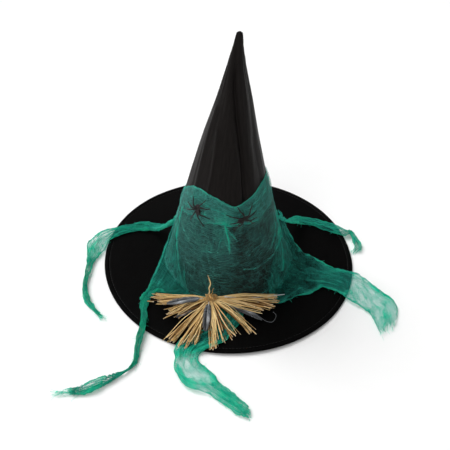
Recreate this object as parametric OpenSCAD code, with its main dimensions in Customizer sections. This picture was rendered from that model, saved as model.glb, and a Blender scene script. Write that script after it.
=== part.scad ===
// Soft costume witch hat: a wired brim, a pointed crown, torn gauze, a straw bow and two spiders.
// Millimetres. +Z runs up to the tip, and -Y is the front, where the bow sits.
// The origin is the centre of the head opening, in the plane that the brim rests on.

/* [Crown] */
// Height of the tip above the surface that the brim rests on
crown_h = 400; // [380:1:420]
// Outer radius of the crown's foot, where it is sewn to the brim
crown_foot_r = 93.5; // [93:0.5:96]
// Outer radius of the crown just above its flared foot
crown_low_r = 90.5; // [90:0.5:92]
// Outer radius of the crown where its blunt point begins
crown_high_r = 12.5; // [11:0.5:14]
// Height of the blunt point
point_h = 50; // [40:1:60]
// Thickness of the satin
satin_t = 0.5; // [0.4:0.1:0.6]
// Thickness of the stiff lining behind the satin
lining_t = 0.8; // [0.6:0.1:0.9]

/* [Brim] */
// Radius of the brim
brim_r = 190; // [180:1:200]
// Thickness of the brim, covers included
brim_t = 2.8; // [2.6:0.1:3]
// Thickness of each cloth cover
cover_t = 0.4; // [0.3:0.1:0.5]
// Width of the hem that holds the wire
hem_w = 7.5; // [6:0.5:10]
// Diameter of the steel hoop in the hem
wire_d = 1.4; // [1:0.1:1.6]
// Number of stitches round the hem
stitch_count = 120; // [60:10:180]

/* [Head opening] */
// Inner radius of the sweatband
head_r = 88.5; // [88:0.1:88.6]
// Height of the sweatband's upright part
band_upright_h = 12; // [8:1:12]
// Full height of the sweatband
band_h = 26; // [18:1:26]
// Thickness of the sweatband
band_t = 0.7; // [0.5:0.1:0.7]

/* [Gauze] */
// Thickness of one layer of gauze with its creases
gauze_t = 1.2; // [0.8:0.1:1.4]
// Height of the wrap's lower edge
wrap_low = 12; // [10:1:20]
// Height of the wrap's upper edge at the middle of the crown
wrap_high = 172; // [165:1:180]
// Rise of the upper edge for each millimetre to the right
wrap_rise = 0.45; // [0.3:0.05:0.5]
// Height of the folded collar's lower edge
collar_low = 128; // [120:1:132]
// Thickness of the tails where they lie
tail_t = 2.6; // [2:0.1:3]

/* [Trim] */
// Thickness of a bundle of straw
straw_t = 5; // [4:0.5:6]
// Outer radius of the binding round the bow's middle
binding_r = 6.5; // [6:0.5:8]
// Length of the binding
binding_l = 18; // [14:1:20]
// Reach of a spider's legs
leg_reach = 23; // [18:1:26]

/* [Hidden] */

$fn = 96;
gap = 0.1;              // play between two layers of cloth
flare_top = 15;         // height at which the crown's flared foot ends
point_low_h = 20;       // height of the last, steeper part of the point
point_low_r = 6.6;      // crown radius where that part begins
tip_h = 3;              // height of the rounded tip
tip_r = 4;              // radius of the rounded tip
tip_round = 0.8;        // depth of the tip's blunt top
opening_r = head_r + band_t + 0.3;  // radius of the opening in the two covers
felt_inner_r = opening_r + 0.5;     // radius of the opening in the felt
felt_outer_r = brim_r - hem_w - 1;  // radius where the felt ends, short of the hem's wire
wrap_play = 0.4;        // room between the satin and the wrap
collar_play = 0.2;      // room between the wrap and the collar
above_wrap = 206;       // height that the wrap's sloping upper edge never reaches
collar_off = wrap_play + gauze_t + collar_play;
point_start = crown_h - point_h;
wall = satin_t + gap + lining_t;
crown_table = [[0, crown_foot_r], [brim_t, crown_foot_r], [flare_top, crown_low_r],
    [point_start, crown_high_r], [crown_h - point_low_h, point_low_r], [crown_h - tip_h, tip_r]];
slope = atan((crown_low_r - crown_high_r) / (point_start - flare_top));
black = "#161414";
cord_black = "#0a0a0a";
teal = "#10a078";
straw = "#c9a56c";
grey = "#6f7a80";

// Outer radius of the crown at height z.
function crown_r(z) = lookup(z, crown_table);

// Points up the crown's side from z0 to z1, moved out by d.
function side(z0, z1, d) = concat([[crown_r(z0) + d, z0]],
    [for (p = crown_table) if (p[0] > z0 && p[0] < z1) [p[1] + d, p[0]]], [[crown_r(z1) + d, z1]]);

function reverse(list) = [for (i = [len(list) - 1:-1:0]) list[i]];

// A band of cloth that follows the crown from z0 to z1, between the offsets d0 and d1.
module crown_band(z0, z1, d0, d1) {
    rotate_extrude() polygon(concat(side(z0, z1, d1), reverse(side(z0, z1, d0))));
}

// The half-space below the wrap's sloping upper edge.
module below_upper_edge() {
    reach = 300;
    translate([0, 0, wrap_high]) rotate([0, -atan(wrap_rise), 0])
        translate([-reach, -reach, -reach]) cube([2 * reach, 2 * reach, reach]);
}

// Puts its children on the crown, turned az degrees from the front towards +X.
// The children's +Z points out of the cloth and their +Y runs up the slope.
module on_crown(az, z, lift) {
    rotate([0, 0, az]) translate([0, -crown_r(z) - lift, z]) rotate([90 - slope, 0, 0]) children();
}

// Direction along a route of [x, y, z, width] points at point i.
function along(route, i) = let (
        a = route[max(i - 1, 0)],
        b = route[min(i + 1, len(route) - 1)],
        d = [b[0] - a[0], b[1] - a[1], b[2] - a[2]])
    d / norm(d);

// Corners of a ribbon's section at point i: level from side to side, t thick.
function ribbon_section(route, i, t) = let (
        d = along(route, i),
        across = cross([0, 0, 1], d),
        side = across / norm(across),
        up = cross(d, side),
        p = [route[i][0], route[i][1], route[i][2]],
        half = side * route[i][3] / 2,
        lift = up * t / 2)
    [p - half - lift, p + half - lift, p + half + lift, p - half + lift];

// A ribbon of thickness t along a route of [x, y, z, width] points.
module ribbon(route, t) {
    n = len(route);
    points = [for (i = [0:n - 1]) each ribbon_section(route, i, t)];
    walls = [for (i = [0:n - 2], k = [0:3]) let (a = 4 * i + k, b = 4 * i + (k + 1) % 4)
        each [[a, b, b + 4], [a, b + 4, a + 4]]];
    ends = [[3, 2, 1], [3, 1, 0], [4 * n - 4, 4 * n - 3, 4 * n - 2], [4 * n - 4, 4 * n - 2, 4 * n - 1]];
    polyhedron(points, [for (f = concat(walls, ends)) reverse(f)]);
}

// A straight round rod from a to b.
module rod(a, b, r) {
    d = b - a;
    translate(a) rotate([0, acos(d[2] / norm(d)), atan2(d[1], d[0])]) cylinder(h = norm(d), r = r);
}

// Outer satin cone, from its sewn foot to the tip.
module crown_shell() {
    outside = side(brim_t + gap, crown_h - tip_h, 0);
    inside = side(brim_t + gap, crown_h - point_low_h, -satin_t);
    color(black) rotate_extrude() polygon(concat([[0, crown_h - point_low_h]], reverse(inside),
        outside, [[tip_r / 2, crown_h - tip_round], [0, crown_h]]));
}

// Stiff lining that keeps the cone up, open at the top.
module crown_interlining() {
    color("#2b2b2b") crown_band(brim_t + gap, point_start, -wall, -satin_t - gap);
}

// Tape over the crown's sewn seam, inside the back.
module crown_seam_tape() {
    tape_w = 12;
    tape_t = 0.6;
    tape_l = 200;
    tape_middle = 170;
    tape_play = 1.5;    // room that the flat tape needs inside the round cone
    color(black) on_crown(180, tape_middle, -wall - tape_play) translate([-tape_w / 2, -tape_l / 2, 0])
        cube([tape_w, tape_l, tape_t]);
}

// A flat ring of cloth with a lip at the rim: the lower half of the brim's cloth.
module brim_cover() {
    difference() {
        cylinder(h = brim_t / 2 - gap / 2, r = brim_r, $fn = 180);
        translate([0, 0, cover_t]) cylinder(h = brim_t, r = brim_r - satin_t, $fn = 180);
        translate([0, 0, -1]) cylinder(h = brim_t, r = opening_r);
    }
}

module brim_under_cover() {
    color(black) brim_cover();
}

module brim_top_cover() {
    color(black) translate([0, 0, brim_t]) mirror([0, 0, 1]) brim_cover();
}

// Stiff felt between the covers, from the head opening to the hem.
module brim_stiffener() {
    color("#303030") translate([0, 0, cover_t + gap]) difference() {
        cylinder(h = brim_t - 2 * (cover_t + gap), r = felt_outer_r);
        translate([0, 0, -1]) cylinder(h = brim_t, r = felt_inner_r);
    }
}

wire_path_r = brim_r - 2.6; // radius of the hoop's centre line
sleeve_angle = 8;           // part of the hoop that the sleeve covers
wire_gap_angle = 0.6;       // space between the wire's two ends
wire_play = 0.1;            // the sleeve's bore is this much wider than the wire

// Spring wire hoop in the hem, with its two ends meeting at the back.
module brim_wire() {
    color("silver") rotate([0, 0, 90 + wire_gap_angle / 2])
        rotate_extrude(angle = 360 - wire_gap_angle, $fn = 180)
            translate([wire_path_r, brim_t / 2]) circle(d = wire_d, $fn = 16);
}

// Crimped sleeve that joins the wire's two ends.
module brim_wire_sleeve() {
    sleeve_d = brim_t - 2 * cover_t - gap;
    color("gray") rotate([0, 0, 90 - sleeve_angle / 2]) rotate_extrude(angle = sleeve_angle, $fn = 180)
        translate([wire_path_r, brim_t / 2]) difference() {
            circle(d = sleeve_d, $fn = 20);
            circle(d = wire_d + wire_play, $fn = 20);
        }
}

// Row of stitches that closes the hem, on the brim's upper side.
module hem_stitches() {
    stitch = [0.5, 5, 0.3];
    stitch_lift = 0.02;
    color(cord_black) for (i = [0:stitch_count - 1]) rotate([0, 0, i * 360 / stitch_count])
        translate([brim_r - hem_w, -stitch[1] / 2, brim_t + stitch_lift]) cube(stitch);
}

// Ribbon round the head opening: upright where the head enters, then leaning in with the crown.
module sweatband() {
    lean = (band_h - band_upright_h) * tan(slope);
    inner = [[head_r, 0], [head_r, band_upright_h], [head_r - lean, band_h]];
    color("#1c1a1a") rotate_extrude() polygon(concat(inner,
        reverse([for (p = inner) [p[0] + band_t, p[1]]])));
}

// Gauze wound round the lower crown, cut off by its sloping upper edge.
module gauze_wrap() {
    color(teal) intersection() {
        crown_band(wrap_low, above_wrap, wrap_play, wrap_play + gauze_t);
        below_upper_edge();
    }
}

// The wrap's upper part, folded over into a second layer.
module gauze_collar() {
    color(teal) intersection() {
        crown_band(collar_low, above_wrap, collar_off, collar_off + gauze_t);
        below_upper_edge();
    }
}

// Routes of the torn gauze tails: [x, y, z, width], from the crown outwards.
back_left_route = [[-80, 4, 88, 8], [-93, 20, 54, 20], [-104, 42, 26, 24], [-116, 61, 9, 24],
    [-134, 65, 5, 22], [-158, 59, 5, 20], [-178, 50, 5.2, 22], [-196, 37, 5, 26], [-208, 19, 2.4, 32],
    [-212, -4, 2, 22], [-212, -28, 2, 12], [-213, -52, 2, 10], [-212, -74, 2, 10], [-206, -97, 2, 9],
    [-192, -116, 2, 7], [-180, -130, 2, 4]];
front_left_route = [[-80, -38, 62, 20], [-92, -60, 28, 46], [-106, -76, 8, 34], [-118, -90, 5, 16],
    [-123, -111, 5, 11], [-117, -140, 5, 12], [-121, -165, 4.5, 12], [-125, -187, 3, 10],
    [-128, -211, 2, 12], [-139, -228, 2, 14], [-156, -242, 2, 18], [-175, -254, 2, 22],
    [-190, -262, 2, 18], [-214, -266, 2, 6]];
front_route = [[10, -106, 5, 34], [6, -128, 5, 34], [-4, -150, 5, 34], [-22, -168, 5.5, 32],
    [-44, -182, 5.5, 34], [-56, -196, 3.5, 42], [-52, -214, 2, 48], [-38, -236, 2, 48],
    [-20, -252, 2, 40], [0, -264, 2, 30], [14, -276, 2, 24], [28, -290, 2, 14], [33, -297, 2, 6]];
right_front_route = [[76, -20, 102, 30], [88, -24, 64, 56], [101, -28, 30, 78], [116, -32, 8, 82],
    [134, -36, 5, 66], [156, -40, 5, 52], [178, -48, 5, 50], [194, -60, 4.6, 48], [207, -72, 2, 48],
    [220, -85, 2, 48], [230, -100, 2, 44], [232, -116, 2, 30], [232, -128, 2, 20], [230, -142, 2, 8]];
right_back_route = [[80, 10, 90, 8], [88, 36, 62, 16], [96, 62, 32, 20], [106, 84, 8, 20],
    [118, 89, 5, 20], [134, 85, 5, 20], [152, 76, 5, 22], [170, 68, 5, 22], [186, 62, 4.5, 20],
    [198, 54, 3, 16], [203, 42, 2, 14], [198, 30, 2, 8]];

module gauze_tail(route) {
    color(teal) ribbon(route, tail_t);
}

module gauze_tail_back_left() {
    gauze_tail(back_left_route);
}

module gauze_tail_front_left() {
    gauze_tail(front_left_route);
}

module gauze_tail_front() {
    gauze_tail(front_route);
}

module gauze_tail_right_front() {
    gauze_tail(right_front_route);
}

module gauze_tail_right_back() {
    gauze_tail(right_back_route);
}

// A plastic spider on its back-to-front axis u, with four pairs of bent legs.
module spider(turn) {
    belly_d = 8;
    head_d = 5.6;
    knee_at = 0.45;     // place of the knee along the leg
    knee_up = 5;
    foot_down = 1.5;
    leg_r = 0.5;
    rotate([0, 0, turn]) color(cord_black) {
        translate([0, 4, 1]) sphere(d = belly_d, $fn = 24);
        translate([0, -2.5, 0.5]) sphere(d = head_d, $fn = 24);
        for (flip = [-1, 1], angle = [-60, -20, 20, 60]) {
            hip = [flip * 1.5, -2 + angle / 60, 0.5];
            way = [flip * cos(angle), sin(angle), 0];
            knee = hip + way * leg_reach * knee_at + [0, 0, knee_up];
            foot = hip + way * leg_reach - [0, 0, foot_down];
            rod(hip, knee, leg_r, $fn = 6);
            rod(knee, foot, leg_r, $fn = 6);
            translate(knee) sphere(r = leg_r, $fn = 8);
        }
    }
}

// Place of each spider: azimuth from the front, height, and turn on the cloth.
spider_left_at = [-41, 150, 20];
spider_right_at = [19, 141, -70];
spider_lift = 2 * gauze_t + 4.4;

module spider_left() {
    on_crown(spider_left_at[0], spider_left_at[1], spider_lift) spider(spider_left_at[2]);
}

module spider_right() {
    on_crown(spider_right_at[0], spider_right_at[1], spider_lift) spider(spider_right_at[2]);
}

// The bow's middle, where the binding holds the bundles together.
bow = [-25, -99, 16];

// A bundle of straw from the binding, at an offset from its middle, to its free end.
module straw_bundle(from, to, end_w) {
    start_w = 5;
    a = bow + from;
    d = to - a;
    color(straw) ribbon([for (s = [0, 0.5, 1]) [a[0] + s * d[0], a[1] + s * d[1], a[2] + s * d[2],
        start_w + s * (end_w - start_w)]], straw_t);
}

side_start = binding_l / 2 + 1;     // distance from the bow's middle where side bundles start
low_start = -binding_r - 4;         // distance in front of it where the lower bundles start

module straw_left_upper() {
    straw_bundle([-side_start, 1, 2.6], [-107, -96, 13], 15);
}

module straw_left_lower() {
    straw_bundle([-side_start, -4.5, -2.8], [-95, -128, 12], 17);
}

module straw_bottom_left() {
    straw_bundle([-7, low_start, -2.8], [-68, -178, 11], 46);
}

module straw_bottom_centre() {
    straw_bundle([0, low_start, 0], [-20, -180, 11], 17);
}

module straw_bottom_right() {
    straw_bundle([7, low_start, -2.8], [13, -163, 11], 8);
}

module straw_right_lower() {
    straw_bundle([side_start, -4.5, -2.8], [33, -143, 12], 15);
}

module straw_right_upper() {
    straw_bundle([side_start, 1, 2.6], [60, -106, 12], 28);
}

// Straw wound round the middle of the bow.
module straw_binding() {
    wall_t = 1.4;
    color(straw) translate(bow) rotate([0, 90, 0]) difference() {
        cylinder(h = binding_l, r = binding_r, center = true);
        cylinder(h = binding_l + 1, r = binding_r - wall_t, center = true);
    }
}

// The binding's loose end, standing up in front of the gauze.
module straw_tie_end() {
    tie_t = 1;
    color(straw) ribbon([[-27, -98, 24, 2.5], [-26, -93, 38, 2.5], [-28, -85, 51, 2]], tie_t);
}

// Leaf outline of a feather l long and w wide: two arcs that meet in points.
module leaf(l, w) {
    r = (l * l / 4 + w * w / 4) / w;
    intersection() {
        translate([l / 2, w / 2 - r]) circle(r = r);
        translate([l / 2, r - w / 2]) circle(r = r);
    }
}

// A flat feather with its quill, from its root in the direction turn.
module feather(root, turn, l, w, quill_back) {
    vane_t = 0.6;
    quill_r = 0.7;
    color(grey) translate(root) rotate([0, 0, turn]) {
        linear_extrude(vane_t) leaf(l, w);
        translate([-quill_back, 0, vane_t / 2]) rotate([0, 90, 0])
            cylinder(h = quill_back + l * 0.8, r = quill_r, $fn = 16);
    }
}

feather_z = 8.4;                                        // height of the feathers above the ground
long_quill = [[-5, -95, 24.5], [85, -83, 15.5]];        // ends of the left feather's long bare quill
long_quill_r = 0.8;

module feather_left() {
    feather([-46, -92, feather_z], 192, 50, 13, 0);
    color("white") rod(long_quill[0], long_quill[1], long_quill_r, $fn = 16);
}

module feather_left_small() {
    feather([-48, -114, feather_z], 208, 30, 8, 2);
}

module feather_centre() {
    feather([-28, -106, feather_z], 262, 56, 15, 0);
}

module feather_right() {
    feather([-4, -106, feather_z], 334, 48, 11, 0);
}

// Thread that holds the bow to the brim and crown: two loops over the binding.
module bow_threads() {
    thread_r = 0.4;
    thread_play = 0.05;
    loop_r = binding_r + thread_r + thread_play;
    color(cord_black) for (x = [-4, 4]) translate(bow + [x, 0, 0]) rotate([0, 90, 0])
        rotate_extrude($fn = 48) translate([loop_r, 0]) circle(r = thread_r, $fn = 16);
}

crown_shell();
crown_interlining();
crown_seam_tape();
brim_top_cover();
brim_under_cover();
brim_stiffener();
brim_wire();
brim_wire_sleeve();
hem_stitches();
sweatband();
gauze_wrap();
gauze_collar();
gauze_tail_back_left();
gauze_tail_front_left();
gauze_tail_front();
gauze_tail_right_front();
gauze_tail_right_back();
spider_left();
spider_right();
straw_left_upper();
straw_left_lower();
straw_bottom_left();
straw_bottom_centre();
straw_bottom_right();
straw_right_lower();
straw_right_upper();
straw_binding();
straw_tie_end();
feather_left();
feather_left_small();
feather_centre();
feather_right();
bow_threads();
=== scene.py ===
"""Looks of the witch hat: satin crown and brim, torn gauze, straw bow, feathers and spiders.
Lengths are in millimetres until a mesh is made, and azimuths are in degrees from the front towards +X."""
import functools
import itertools
import math

import bpy
import numpy as np
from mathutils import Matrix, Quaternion, Vector


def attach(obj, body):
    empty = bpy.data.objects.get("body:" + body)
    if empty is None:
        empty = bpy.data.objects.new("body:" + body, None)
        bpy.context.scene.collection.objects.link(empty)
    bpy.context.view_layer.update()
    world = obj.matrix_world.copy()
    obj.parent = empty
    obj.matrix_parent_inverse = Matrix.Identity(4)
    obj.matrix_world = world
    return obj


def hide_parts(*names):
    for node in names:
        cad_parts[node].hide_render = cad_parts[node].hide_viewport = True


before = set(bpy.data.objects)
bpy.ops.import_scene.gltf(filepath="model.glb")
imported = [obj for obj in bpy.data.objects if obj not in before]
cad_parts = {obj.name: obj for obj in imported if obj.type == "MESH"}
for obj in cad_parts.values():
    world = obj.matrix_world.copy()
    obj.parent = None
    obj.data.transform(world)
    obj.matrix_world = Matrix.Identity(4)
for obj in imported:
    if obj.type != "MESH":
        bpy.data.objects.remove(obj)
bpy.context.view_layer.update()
MM = 0.001
BODY = "root"
UV_NAME = "cloth"


# ---------------- sizes shared with part.scad
BRIM_R = 190.0
BRIM_T = 2.8
HEM_R = BRIM_R - 7.5
HEAD_R = 89.4
CROWN_TABLE = [(0, 93.5), (2.8, 93.5), (15, 90.5), (350, 12.5), (380, 6.6), (397, 4.0), (399, 2.2), (400, 0.0)]
# How far the soft crown's axis leans to the right at each height
AXIS_TABLE = [(0, 0), (20, -1.5), (60, -4), (106, -5), (180, -4.8), (239, -2.9), (296, -0.2), (349, 1.2), (380, 3.1),
              (400, 3.9)]


# ---------------- numbers and noise
def table(rows, x):
    return np.interp(x, *zip(*rows))


def smooth(low, high, x):
    t = np.clip((np.asarray(x, float) - low) / (high - low), 0, 1)
    return t * t * (3 - 2 * t)


def noise(p, seed=0):
    """Smooth value noise from -1 to 1 at points p of any shape ending in 3, with cells of size 1."""
    p = np.asarray(p, float)
    cell = np.floor(p).astype(np.int64)
    f = p - cell
    f = f * f * (3 - 2 * f)
    total = np.zeros(p.shape[:-1])
    for corner in itertools.product((0, 1), repeat=3):
        c = cell + np.array(corner)
        h = (c[..., 0] * 73856093 ^ c[..., 1] * 19349663 ^ c[..., 2] * 83492791 ^ seed * 961748927) & 0xFFFFFFFF
        h = ((h ^ (h >> 13)) * 1274126177) & 0xFFFFFFFF
        h = ((h ^ (h >> 15)) * 668265263) & 0xFFFFFFFF
        value = ((h >> 8) & 0xFFFF) / 32767.5 - 1
        weight = np.prod(np.where(np.array(corner) == 1, f, 1 - f), axis=-1)
        total += value * weight
    return total


def fractal(p, seed=0, octaves=3):
    p = np.asarray(p, float)
    return sum(noise(p * 2 ** k, seed + 17 * k) / 2 ** k for k in range(octaves)) / (2 - 2 ** (1 - octaves))


def creases(p, seed=0, sharp=4.0, octaves=2):
    """Thin ridged lines from 0 to 1, like the creases of crumpled cloth."""
    return np.clip(1 - np.abs(fractal(p, seed, octaves)) * 1.6, 0, 1) ** sharp


def stack(*parts):
    return np.stack(np.broadcast_arrays(*parts), -1)


def column(count):
    """Numbers from 0 to 1, one to a row."""
    return np.linspace(0, 1, count)[:, None]


def full_turn(count):
    """Angles in radians, evenly round a circle."""
    return np.linspace(0, 2 * math.pi, count, endpoint=False)


def distance_along(line):
    """How far each point of a line is from its start, along the line."""
    return np.concatenate([[0], np.cumsum(np.linalg.norm(np.diff(line, axis=0), axis=1))])


def spline(rows, count, centre=None):
    """Catmull-Rom through the rows, count rows evenly spaced along the line that centre(rows) follows."""
    p = np.array(rows, float)
    p = np.vstack([2 * p[0] - p[1], p, 2 * p[-1] - p[-2]])
    t = np.linspace(0, 1, 24, endpoint=False)[:, None]
    out = []
    for i in range(1, len(p) - 2):
        a, b, c, d = p[i - 1:i + 3]
        out.append(0.5 * (2 * b + (c - a) * t + (2 * a - 5 * b + 4 * c - d) * t ** 2
                          + (3 * b - a - 3 * c + d) * t ** 3))
    fine = np.vstack(out + [p[-2:-1]])
    line = fine[:, :3] if centre is None else centre(fine)
    run = distance_along(line)
    even = np.linspace(0, run[-1], count)
    return np.stack([np.interp(even, run, fine[:, k]) for k in range(fine.shape[1])], 1), run[-1]


def bell(x, width):
    return np.exp(-(x / width) ** 2)


def unit(v):
    return v / np.maximum(np.linalg.norm(v, axis=-1, keepdims=True), 1e-9)


def polar(a, r, z):
    """Points at angle a in radians, radius r and height z."""
    return stack(r * np.sin(a), -r * np.cos(a), z)


def add_object(name, data):
    made = bpy.data.objects.new(name, data)
    bpy.context.scene.collection.objects.link(made)
    return made


# ---------------- meshes
class Mesh:
    """Points, faces, flat-cloth coordinates and one value per point, gathered into one object."""

    def __init__(self):
        self.points, self.faces, self.uv, self.values, self.count = [], [], [], {}, 0

    def add(self, points, faces, uv=None, **values):
        points = np.asarray(points, float).reshape(-1, 3)
        n = len(points)
        self.points.append(points)
        self.faces.extend((np.asarray(faces) + self.count).tolist() if len(faces) else [])
        self.uv.append(np.zeros((n, 2)) if uv is None else np.asarray(uv, float).reshape(-1, 2))
        for key in set(values) | set(self.values):
            store = self.values.setdefault(key, [np.zeros(self.count)] if self.count else [])
            store.append(np.broadcast_to(np.asarray(values.get(key, 0.0), float).reshape(-1), (n,)).copy())
        self.count += n

    def build(self, name, material, replaces=(), facets=False):
        mesh = bpy.data.meshes.new(name)
        mesh.from_pydata((np.vstack(self.points) * MM).tolist(), [], self.faces)
        layer = mesh.uv_layers.new(name=UV_NAME)
        corner = np.zeros(len(mesh.loops), np.int64)
        mesh.loops.foreach_get("vertex_index", corner)
        layer.data.foreach_set("uv", (np.vstack(self.uv)[corner] * MM).astype(np.float32).ravel())
        for key, parts in self.values.items():
            attribute = mesh.attributes.new(key, "FLOAT", "POINT")
            attribute.data.foreach_set("value", np.concatenate(parts).astype(np.float32))
        if not facets:
            mesh.shade_smooth()
        mesh.materials.append(material)
        piece = add_object(name, mesh)
        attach(piece, BODY)
        if replaces:
            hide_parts(*replaces)
        return piece


def grid(rows, cols, close=False):
    """Faces of a rows x cols grid of points, joined round in the second direction when close is set."""
    i, j = np.meshgrid(np.arange(rows - 1), np.arange(cols if close else cols - 1), indexing="ij")
    k = (j + 1) % cols
    return np.stack([i * cols + j, i * cols + k, (i + 1) * cols + k, (i + 1) * cols + j], -1).reshape(-1, 4)


def grid_piece(name, material, slot, replaces, points, uv, close=False, flip=False, **values):
    """A piece made of one grid of points, such as a sheet of cloth."""
    faces = grid(*points.shape[:2], close)
    mesh = Mesh()
    mesh.add(points, faces[:, ::-1] if flip else faces, uv, **values)
    return mesh.build(name, material, replaces)


def frames(path):
    """Unit directions along, across and above each point of a path, without sudden turns."""
    along = unit(np.gradient(path, axis=0))
    across = np.zeros_like(path)
    first = np.cross(along[0], [0, 0, 1.0])
    across[0] = unit(first if np.linalg.norm(first) > 0.05 else np.cross(along[0], [1.0, 0, 0]))
    for i in range(1, len(path)):
        across[i] = unit(across[i - 1] - along[i] * np.dot(across[i - 1], along[i]))
    return along, across, np.cross(across, along)


def tube(mesh, path, width, height, sides=8, twist=0.0, painted_side_shade=0.0, **values):
    """A closed tube along path with an oval section. width, height and twist are one number or one per point.
    The number after twist is how much painted shade darkens the tube's two sides beyond its top, standing in for the
    shadow between touching straws."""
    path = np.asarray(path, float)
    n = len(path)
    width, height, twist = (np.broadcast_to(np.asarray(v, float), (n,)) for v in (width, height, twist))
    _, across, above = frames(path)
    turn = full_turn(sides)
    x, y = np.cos(turn) * width[:, None] / 2, np.sin(turn) * height[:, None] / 2
    c, s = np.cos(twist)[:, None], np.sin(twist)[:, None]
    ring = path[:, None] + across[:, None] * (x * c - y * s)[..., None] + above[:, None] * (x * s + y * c)[..., None]
    run = distance_along(path)
    uv = np.vstack([stack(turn * width.mean() / 2, run[:, None]).reshape(-1, 2), [[0, 0], [0, run[-1]]]])
    spread = {key: np.concatenate([np.repeat(np.broadcast_to(v, (n,)), sides), [np.ravel(v)[0], np.ravel(v)[-1]]])
              for key, v in values.items()}
    # Painted shade on the tube's two sides, standing in for the shadow between touching straws.
    if painted_side_shade:
        spread["deep"][:-2] += painted_side_shade * np.tile(np.cos(turn) ** 4, n)
    first = mesh.count + n * sides
    mesh.add(np.vstack([ring.reshape(-1, 3), path[:1], path[-1:]]), grid(n, sides, close=True), uv, **spread)
    for end, base, step in ((first, first - n * sides, -1), (first + 1, first - sides, 1)):
        for i in range(sides):
            pair = [base + i, base + (i + 1) % sides]
            mesh.faces.append([end] + pair[::step])


def cut_size(piece, length):
    """Flat width and length in metres of a strip of cloth, length mm long, from the area it has."""
    area = sum(face.area for face in piece.data.polygons)
    return round(area / (length * MM), 3), round(length * MM, 3)


# ---------------- materials
class Nodes:
    """The nodes of a material or a world, as short expressions. A value is a number, a colour or a node's socket."""

    def __init__(self, owner):
        if isinstance(owner, str):
            owner = bpy.data.materials.new(owner)
        owner.use_nodes = True
        self.owner, self.tree = owner, owner.node_tree
        self.tree.nodes.clear()

    def node(self, kind, inputs=(), **properties):
        """Adds a node and returns its outputs."""
        made = self.tree.nodes.new("ShaderNode" + kind)
        for key, value in properties.items():
            setattr(made, key, value)
        for key, value in (inputs.items() if isinstance(inputs, dict) else enumerate(inputs)):
            socket = made.inputs[key]
            if isinstance(value, bpy.types.NodeSocket):
                self.tree.links.new(value, socket)
            else:
                socket.default_value = (*value, 1.0) if socket.type == "RGBA" else value
        return made.outputs

    def operate(self, operation, *inputs):
        return self.node("Math", inputs, operation=operation)[0]

    add = functools.partialmethod(operate, "ADD")
    sub = functools.partialmethod(operate, "SUBTRACT")
    mul = functools.partialmethod(operate, "MULTIPLY")
    most = functools.partialmethod(operate, "MAXIMUM")

    def remap(self, value, low=0.3, high=0.7, to_low=0.0, to_high=1.0):
        return self.node("MapRange", [value, low, high, to_low, to_high])[0]

    def mix(self, share, a, b):
        """A mix of two colours. The Mix node's colour sockets are inputs 6 and 7 and output 2."""
        return self.node("Mix", {0: share, 6: a, 7: b}, data_type="RGBA")[2]

    @functools.cached_property
    def cloth(self):
        """Flat-cloth coordinates in metres: across, along."""
        return self.node("SeparateXYZ", [self.node("UVMap", uv_map=UV_NAME)[0]])[:2]

    def stretched(self, across, along, third=0.0):
        """Flat-cloth coordinates as a vector, stretched by across and along."""
        return self.node("CombineXYZ", [self.mul(self.cloth[0], across), self.mul(self.cloth[1], along), third])[0]

    def place(self):
        """Object coordinates in metres."""
        return self.node("TexCoord")["Object"]

    def cloud(self, scale, detail=3.0, vector=None, distortion=0.0):
        where = self.place() if vector is None else vector
        return self.node("TexNoise", {"Vector": where, "Scale": scale, "Detail": detail, "Distortion": distortion})[0]

    def value(self, name):
        return self.node("Attribute", attribute_name=name)["Fac"]

    def bumped(self, layers):
        """The Normal input that layers of (height, strength, distance in metres) make."""
        normal = {}
        for height, strength, distance in layers:
            inputs = {"Strength": strength, "Distance": distance, "Height": height, **normal}
            normal = {"Normal": self.node("Bump", inputs)[0]}
        return normal

    def principled(self, tone, roughness, spec, normal, **more):
        return self.node("BsdfPrincipled", {"Base Color": tone, "Roughness": roughness, "Specular IOR Level": spec,
                                            **normal, **{key.replace("_", " "): v for key, v in more.items()}})[0]

    def finish(self, shader):
        self.node("OutputMaterial", [shader])
        return self.owner

    def surface(self, tone, roughness, spec, layers=(), **more):
        """The finished material of an opaque surface whose bumps are layers."""
        return self.finish(self.principled(tone, roughness, spec, self.bumped(layers), **more))


def stripes(g, coordinate, pitch):
    """0 at a thread's middle and 1 between two threads, which repeat every pitch metres."""
    return g.operate("DIVIDE", g.operate("PINGPONG", coordinate, pitch / 2), pitch / 2)


def grained_material(name, scale, contrast, dark, light, matt, spec, strength, depth, **more):
    """A hard surface with a fine grain that varies its colour, its gloss (between the two in matt) and its height."""
    g = Nodes(name)
    grain = g.cloud(scale)
    tone = g.mix(g.remap(grain, 0.5 - contrast, 0.5 + contrast), dark, light)
    return g.surface(tone, g.remap(grain, 0.3, 0.7, *matt), spec, [(grain, strength, depth)], **more)


def satin_material(name, base, roughness, spec):
    g = Nodes(name)
    across, along = g.cloth
    twill = stripes(g, g.add(g.mul(across, 0.5), along), 0.0006)
    slubs = g.cloud(9.0, 4.0, g.stretched(40.0, 4.0))
    tone = g.mix(g.remap(slubs), tuple(0.7 * c for c in base), tuple(1.35 * c for c in base))
    lint = g.remap(g.cloud(900.0, 1.0), 0.76, 0.82)
    tone = g.mix(g.mul(lint, 0.12), tone, (0.03, 0.03, 0.031))
    return g.surface(tone, g.remap(slubs, 0.25, 0.75, roughness - 0.06, roughness + 0.08), spec,
                     [(twill, 0.25, 0.00012), (slubs, 0.35, 0.0003), (g.cloud(38.0), 0.3, 0.0012)], Anisotropic=0.35)


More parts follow.
